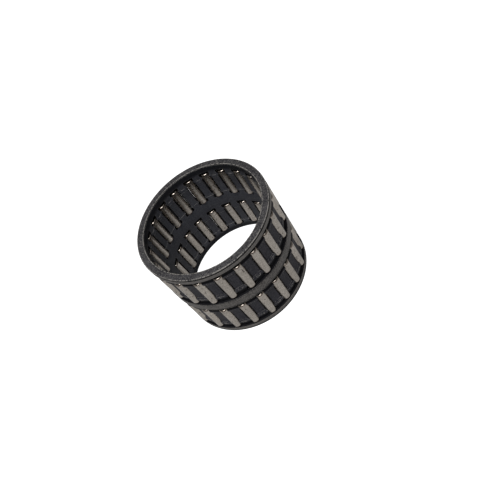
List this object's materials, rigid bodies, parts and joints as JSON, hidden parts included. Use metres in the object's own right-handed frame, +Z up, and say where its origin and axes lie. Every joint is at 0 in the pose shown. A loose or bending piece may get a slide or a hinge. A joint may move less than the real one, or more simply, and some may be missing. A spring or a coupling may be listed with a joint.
{
  "type": "needle roller bearing",
  "caption": "Ringless needle roller and cage assembly: two rows of needles spin in the windows of a one-piece ribbed steel cage and carry a shaft in a housing bore.",
  "frame": {"origin": "centre of the lower end face, where the bearing's axis meets it", "axes": "+Z up along the bearing's axis; a needle of each row lies on +X"},
  "size_m": [0.0439, 0.0438, 0.034],
  "materials": {
    "cage_steel": "dark phosphated steel, satin, with ground lands",
    "roller_steel": "fine ground through-hardened bearing steel, satin"
  },
  "bodies": {
    "cage": {"cage": "cage_steel"},
    "lower_roller_01": {"lower_roller_01": "roller_steel"},
    "lower_roller_02": {"lower_roller_02": "roller_steel"},
    "lower_roller_03": {"lower_roller_03": "roller_steel"},
    "lower_roller_04": {"lower_roller_04": "roller_steel"},
    "lower_roller_05": {"lower_roller_05": "roller_steel"},
    "lower_roller_06": {"lower_roller_06": "roller_steel"},
    "lower_roller_07": {"lower_roller_07": "roller_steel"},
    "lower_roller_08": {"lower_roller_08": "roller_steel"},
    "lower_roller_09": {"lower_roller_09": "roller_steel"},
    "lower_roller_10": {"lower_roller_10": "roller_steel"},
    "lower_roller_11": {"lower_roller_11": "roller_steel"},
    "lower_roller_12": {"lower_roller_12": "roller_steel"},
    "lower_roller_13": {"lower_roller_13": "roller_steel"},
    "lower_roller_14": {"lower_roller_14": "roller_steel"},
    "lower_roller_15": {"lower_roller_15": "roller_steel"},
    "lower_roller_16": {"lower_roller_16": "roller_steel"},
    "lower_roller_17": {"lower_roller_17": "roller_steel"},
    "lower_roller_18": {"lower_roller_18": "roller_steel"},
    "lower_roller_19": {"lower_roller_19": "roller_steel"},
    "lower_roller_20": {"lower_roller_20": "roller_steel"},
    "lower_roller_21": {"lower_roller_21": "roller_steel"},
    "upper_roller_01": {"upper_roller_01": "roller_steel"},
    "upper_roller_02": {"upper_roller_02": "roller_steel"},
    "upper_roller_03": {"upper_roller_03": "roller_steel"},
    "upper_roller_04": {"upper_roller_04": "roller_steel"},
    "upper_roller_05": {"upper_roller_05": "roller_steel"},
    "upper_roller_06": {"upper_roller_06": "roller_steel"},
    "upper_roller_07": {"upper_roller_07": "roller_steel"},
    "upper_roller_08": {"upper_roller_08": "roller_steel"},
    "upper_roller_09": {"upper_roller_09": "roller_steel"},
    "upper_roller_10": {"upper_roller_10": "roller_steel"},
    "upper_roller_11": {"upper_roller_11": "roller_steel"},
    "upper_roller_12": {"upper_roller_12": "roller_steel"},
    "upper_roller_13": {"upper_roller_13": "roller_steel"},
    "upper_roller_14": {"upper_roller_14": "roller_steel"},
    "upper_roller_15": {"upper_roller_15": "roller_steel"},
    "upper_roller_16": {"upper_roller_16": "roller_steel"},
    "upper_roller_17": {"upper_roller_17": "roller_steel"},
    "upper_roller_18": {"upper_roller_18": "roller_steel"},
    "upper_roller_19": {"upper_roller_19": "roller_steel"},
    "upper_roller_20": {"upper_roller_20": "roller_steel"},
    "upper_roller_21": {"upper_roller_21": "roller_steel"}
  },
  "joints": [
    {"name": "lower_roller_01_spin", "type": "hinge", "parent": "cage", "child": "lower_roller_01", "pos_m": [0.0205, 0, 0.0083], "axis": [0, 0, 1], "continuous": true},
    {"name": "lower_roller_02_spin", "type": "hinge", "parent": "cage", "child": "lower_roller_02", "pos_m": [0.01959, 0.00604, 0.0083], "axis": [0, 0, 1], "continuous": true},
    {"name": "lower_roller_03_spin", "type": "hinge", "parent": "cage", "child": "lower_roller_03", "pos_m": [0.01694, 0.01155, 0.0083], "axis": [0, 0, 1], "continuous": true},
    {"name": "lower_roller_04_spin", "type": "hinge", "parent": "cage", "child": "lower_roller_04", "pos_m": [0.01278, 0.01603, 0.0083], "axis": [0, 0, 1], "continuous": true},
    {"name": "lower_roller_05_spin", "type": "hinge", "parent": "cage", "child": "lower_roller_05", "pos_m": [0.00749, 0.01908, 0.0083], "axis": [0, 0, 1], "continuous": true},
    {"name": "lower_roller_06_spin", "type": "hinge", "parent": "cage", "child": "lower_roller_06", "pos_m": [0.00153, 0.02044, 0.0083], "axis": [0, 0, 1], "continuous": true},
    {"name": "lower_roller_07_spin", "type": "hinge", "parent": "cage", "child": "lower_roller_07", "pos_m": [-0.00456, 0.01999, 0.0083], "axis": [0, 0, 1], "continuous": true},
    {"name": "lower_roller_08_spin", "type": "hinge", "parent": "cage", "child": "lower_roller_08", "pos_m": [-0.01025, 0.01775, 0.0083], "axis": [0, 0, 1], "continuous": true},
    {"name": "lower_roller_09_spin", "type": "hinge", "parent": "cage", "child": "lower_roller_09", "pos_m": [-0.01503, 0.01394, 0.0083], "axis": [0, 0, 1], "continuous": true},
    {"name": "lower_roller_10_spin", "type": "hinge", "parent": "cage", "child": "lower_roller_10", "pos_m": [-0.01847, 0.00889, 0.0083], "axis": [0, 0, 1], "continuous": true},
    {"name": "lower_roller_11_spin", "type": "hinge", "parent": "cage", "child": "lower_roller_11", "pos_m": [-0.02027, 0.00306, 0.0083], "axis": [0, 0, 1], "continuous": true},
    {"name": "lower_roller_12_spin", "type": "hinge", "parent": "cage", "child": "lower_roller_12", "pos_m": [-0.02027, -0.00306, 0.0083], "axis": [0, 0, 1], "continuous": true},
    {"name": "lower_roller_13_spin", "type": "hinge", "parent": "cage", "child": "lower_roller_13", "pos_m": [-0.01847, -0.00889, 0.0083], "axis": [0, 0, 1], "continuous": true},
    {"name": "lower_roller_14_spin", "type": "hinge", "parent": "cage", "child": "lower_roller_14", "pos_m": [-0.01503, -0.01394, 0.0083], "axis": [0, 0, 1], "continuous": true},
    {"name": "lower_roller_15_spin", "type": "hinge", "parent": "cage", "child": "lower_roller_15", "pos_m": [-0.01025, -0.01775, 0.0083], "axis": [0, 0, 1], "continuous": true},
    {"name": "lower_roller_16_spin", "type": "hinge", "parent": "cage", "child": "lower_roller_16", "pos_m": [-0.00456, -0.01999, 0.0083], "axis": [0, 0, 1], "continuous": true},
    {"name": "lower_roller_17_spin", "type": "hinge", "parent": "cage", "child": "lower_roller_17", "pos_m": [0.00153, -0.02044, 0.0083], "axis": [0, 0, 1], "continuous": true},
    {"name": "lower_roller_18_spin", "type": "hinge", "parent": "cage", "child": "lower_roller_18", "pos_m": [0.00749, -0.01908, 0.0083], "axis": [0, 0, 1], "continuous": true},
    {"name": "lower_roller_19_spin", "type": "hinge", "parent": "cage", "child": "lower_roller_19", "pos_m": [0.01278, -0.01603, 0.0083], "axis": [0, 0, 1], "continuous": true},
    {"name": "lower_roller_20_spin", "type": "hinge", "parent": "cage", "child": "lower_roller_20", "pos_m": [0.01694, -0.01155, 0.0083], "axis": [0, 0, 1], "continuous": true},
    {"name": "lower_roller_21_spin", "type": "hinge", "parent": "cage", "child": "lower_roller_21", "pos_m": [0.01959, -0.00604, 0.0083], "axis": [0, 0, 1], "continuous": true},
    {"name": "upper_roller_01_spin", "type": "hinge", "parent": "cage", "child": "upper_roller_01", "pos_m": [0.0205, 0, 0.0252], "axis": [0, 0, 1], "continuous": true},
    {"name": "upper_roller_02_spin", "type": "hinge", "parent": "cage", "child": "upper_roller_02", "pos_m": [0.01959, 0.00604, 0.0252], "axis": [0, 0, 1], "continuous": true},
    {"name": "upper_roller_03_spin", "type": "hinge", "parent": "cage", "child": "upper_roller_03", "pos_m": [0.01694, 0.01155, 0.0252], "axis": [0, 0, 1], "continuous": true},
    {"name": "upper_roller_04_spin", "type": "hinge", "parent": "cage", "child": "upper_roller_04", "pos_m": [0.01278, 0.01603, 0.0252], "axis": [0, 0, 1], "continuous": true},
    {"name": "upper_roller_05_spin", "type": "hinge", "parent": "cage", "child": "upper_roller_05", "pos_m": [0.00749, 0.01908, 0.0252], "axis": [0, 0, 1], "continuous": true},
    {"name": "upper_roller_06_spin", "type": "hinge", "parent": "cage", "child": "upper_roller_06", "pos_m": [0.00153, 0.02044, 0.0252], "axis": [0, 0, 1], "continuous": true},
    {"name": "upper_roller_07_spin", "type": "hinge", "parent": "cage", "child": "upper_roller_07", "pos_m": [-0.00456, 0.01999, 0.0252], "axis": [0, 0, 1], "continuous": true},
    {"name": "upper_roller_08_spin", "type": "hinge", "parent": "cage", "child": "upper_roller_08", "pos_m": [-0.01025, 0.01775, 0.0252], "axis": [0, 0, 1], "continuous": true},
    {"name": "upper_roller_09_spin", "type": "hinge", "parent": "cage", "child": "upper_roller_09", "pos_m": [-0.01503, 0.01394, 0.0252], "axis": [0, 0, 1], "continuous": true},
    {"name": "upper_roller_10_spin", "type": "hinge", "parent": "cage", "child": "upper_roller_10", "pos_m": [-0.01847, 0.00889, 0.0252], "axis": [0, 0, 1], "continuous": true},
    {"name": "upper_roller_11_spin", "type": "hinge", "parent": "cage", "child": "upper_roller_11", "pos_m": [-0.02027, 0.00306, 0.0252], "axis": [0, 0, 1], "continuous": true},
    {"name": "upper_roller_12_spin", "type": "hinge", "parent": "cage", "child": "upper_roller_12", "pos_m": [-0.02027, -0.00306, 0.0252], "axis": [0, 0, 1], "continuous": true},
    {"name": "upper_roller_13_spin", "type": "hinge", "parent": "cage", "child": "upper_roller_13", "pos_m": [-0.01847, -0.00889, 0.0252], "axis": [0, 0, 1], "continuous": true},
    {"name": "upper_roller_14_spin", "type": "hinge", "parent": "cage", "child": "upper_roller_14", "pos_m": [-0.01503, -0.01394, 0.0252], "axis": [0, 0, 1], "continuous": true},
    {"name": "upper_roller_15_spin", "type": "hinge", "parent": "cage", "child": "upper_roller_15", "pos_m": [-0.01025, -0.01775, 0.0252], "axis": [0, 0, 1], "continuous": true},
    {"name": "upper_roller_16_spin", "type": "hinge", "parent": "cage", "child": "upper_roller_16", "pos_m": [-0.00456, -0.01999, 0.0252], "axis": [0, 0, 1], "continuous": true},
    {"name": "upper_roller_17_spin", "type": "hinge", "parent": "cage", "child": "upper_roller_17", "pos_m": [0.00153, -0.02044, 0.0252], "axis": [0, 0, 1], "continuous": true},
    {"name": "upper_roller_18_spin", "type": "hinge", "parent": "cage", "child": "upper_roller_18", "pos_m": [0.00749, -0.01908, 0.0252], "axis": [0, 0, 1], "continuous": true},
    {"name": "upper_roller_19_spin", "type": "hinge", "parent": "cage", "child": "upper_roller_19", "pos_m": [0.01278, -0.01603, 0.0252], "axis": [0, 0, 1], "continuous": true},
    {"name": "upper_roller_20_spin", "type": "hinge", "parent": "cage", "child": "upper_roller_20", "pos_m": [0.01694, -0.01155, 0.0252], "axis": [0, 0, 1], "continuous": true},
    {"name": "upper_roller_21_spin", "type": "hinge", "parent": "cage", "child": "upper_roller_21", "pos_m": [0.01959, -0.00604, 0.0252], "axis": [0, 0, 1], "continuous": true}
  ],
  "couplings": [
    {"joint": "lower_roller_01_spin", "follows": "upper_roller_17_spin", "ratio": 1},
    {"joint": "lower_roller_02_spin", "follows": "upper_roller_17_spin", "ratio": 1},
    {"joint": "lower_roller_03_spin", "follows": "upper_roller_17_spin", "ratio": 1},
    {"joint": "lower_roller_04_spin", "follows": "upper_roller_17_spin", "ratio": 1},
    {"joint": "lower_roller_05_spin", "follows": "upper_roller_17_spin", "ratio": 1},
    {"joint": "lower_roller_06_spin", "follows": "upper_roller_17_spin", "ratio": 1},
    {"joint": "lower_roller_07_spin", "follows": "upper_roller_17_spin", "ratio": 1},
    {"joint": "lower_roller_08_spin", "follows": "upper_roller_17_spin", "ratio": 1},
    {"joint": "lower_roller_09_spin", "follows": "upper_roller_17_spin", "ratio": 1},
    {"joint": "lower_roller_10_spin", "follows": "upper_roller_17_spin", "ratio": 1},
    {"joint": "lower_roller_11_spin", "follows": "upper_roller_17_spin", "ratio": 1},
    {"joint": "lower_roller_12_spin", "follows": "upper_roller_17_spin", "ratio": 1},
    {"joint": "lower_roller_13_spin", "follows": "upper_roller_17_spin", "ratio": 1},
    {"joint": "lower_roller_14_spin", "follows": "upper_roller_17_spin", "ratio": 1},
    {"joint": "lower_roller_15_spin", "follows": "upper_roller_17_spin", "ratio": 1},
    {"joint": "lower_roller_16_spin", "follows": "upper_roller_17_spin", "ratio": 1},
    {"joint": "lower_roller_17_spin", "follows": "upper_roller_17_spin", "ratio": 1},
    {"joint": "lower_roller_18_spin", "follows": "upper_roller_17_spin", "ratio": 1},
    {"joint": "lower_roller_19_spin", "follows": "upper_roller_17_spin", "ratio": 1},
    {"joint": "lower_roller_20_spin", "follows": "upper_roller_17_spin", "ratio": 1},
    {"joint": "lower_roller_21_spin", "follows": "upper_roller_17_spin", "ratio": 1},
    {"joint": "upper_roller_01_spin", "follows": "upper_roller_17_spin", "ratio": 1},
    {"joint": "upper_roller_02_spin", "follows": "upper_roller_17_spin", "ratio": 1},
    {"joint": "upper_roller_03_spin", "follows": "upper_roller_17_spin", "ratio": 1},
    {"joint": "upper_roller_04_spin", "follows": "upper_roller_17_spin", "ratio": 1},
    {"joint": "upper_roller_05_spin", "follows": "upper_roller_17_spin", "ratio": 1},
    {"joint": "upper_roller_06_spin", "follows": "upper_roller_17_spin", "ratio": 1},
    {"joint": "upper_roller_07_spin", "follows": "upper_roller_17_spin", "ratio": 1},
    {"joint": "upper_roller_08_spin", "follows": "upper_roller_17_spin", "ratio": 1},
    {"joint": "upper_roller_09_spin", "follows": "upper_roller_17_spin", "ratio": 1},
    {"joint": "upper_roller_10_spin", "follows": "upper_roller_17_spin", "ratio": 1},
    {"joint": "upper_roller_11_spin", "follows": "upper_roller_17_spin", "ratio": 1},
    {"joint": "upper_roller_12_spin", "follows": "upper_roller_17_spin", "ratio": 1},
    {"joint": "upper_roller_13_spin", "follows": "upper_roller_17_spin", "ratio": 1},
    {"joint": "upper_roller_14_spin", "follows": "upper_roller_17_spin", "ratio": 1},
    {"joint": "upper_roller_15_spin", "follows": "upper_roller_17_spin", "ratio": 1},
    {"joint": "upper_roller_16_spin", "follows": "upper_roller_17_spin", "ratio": 1},
    {"joint": "upper_roller_18_spin", "follows": "upper_roller_17_spin", "ratio": 1},
    {"joint": "upper_roller_19_spin", "follows": "upper_roller_17_spin", "ratio": 1},
    {"joint": "upper_roller_20_spin", "follows": "upper_roller_17_spin", "ratio": 1},
    {"joint": "upper_roller_21_spin", "follows": "upper_roller_17_spin", "ratio": 1}
  ]
}
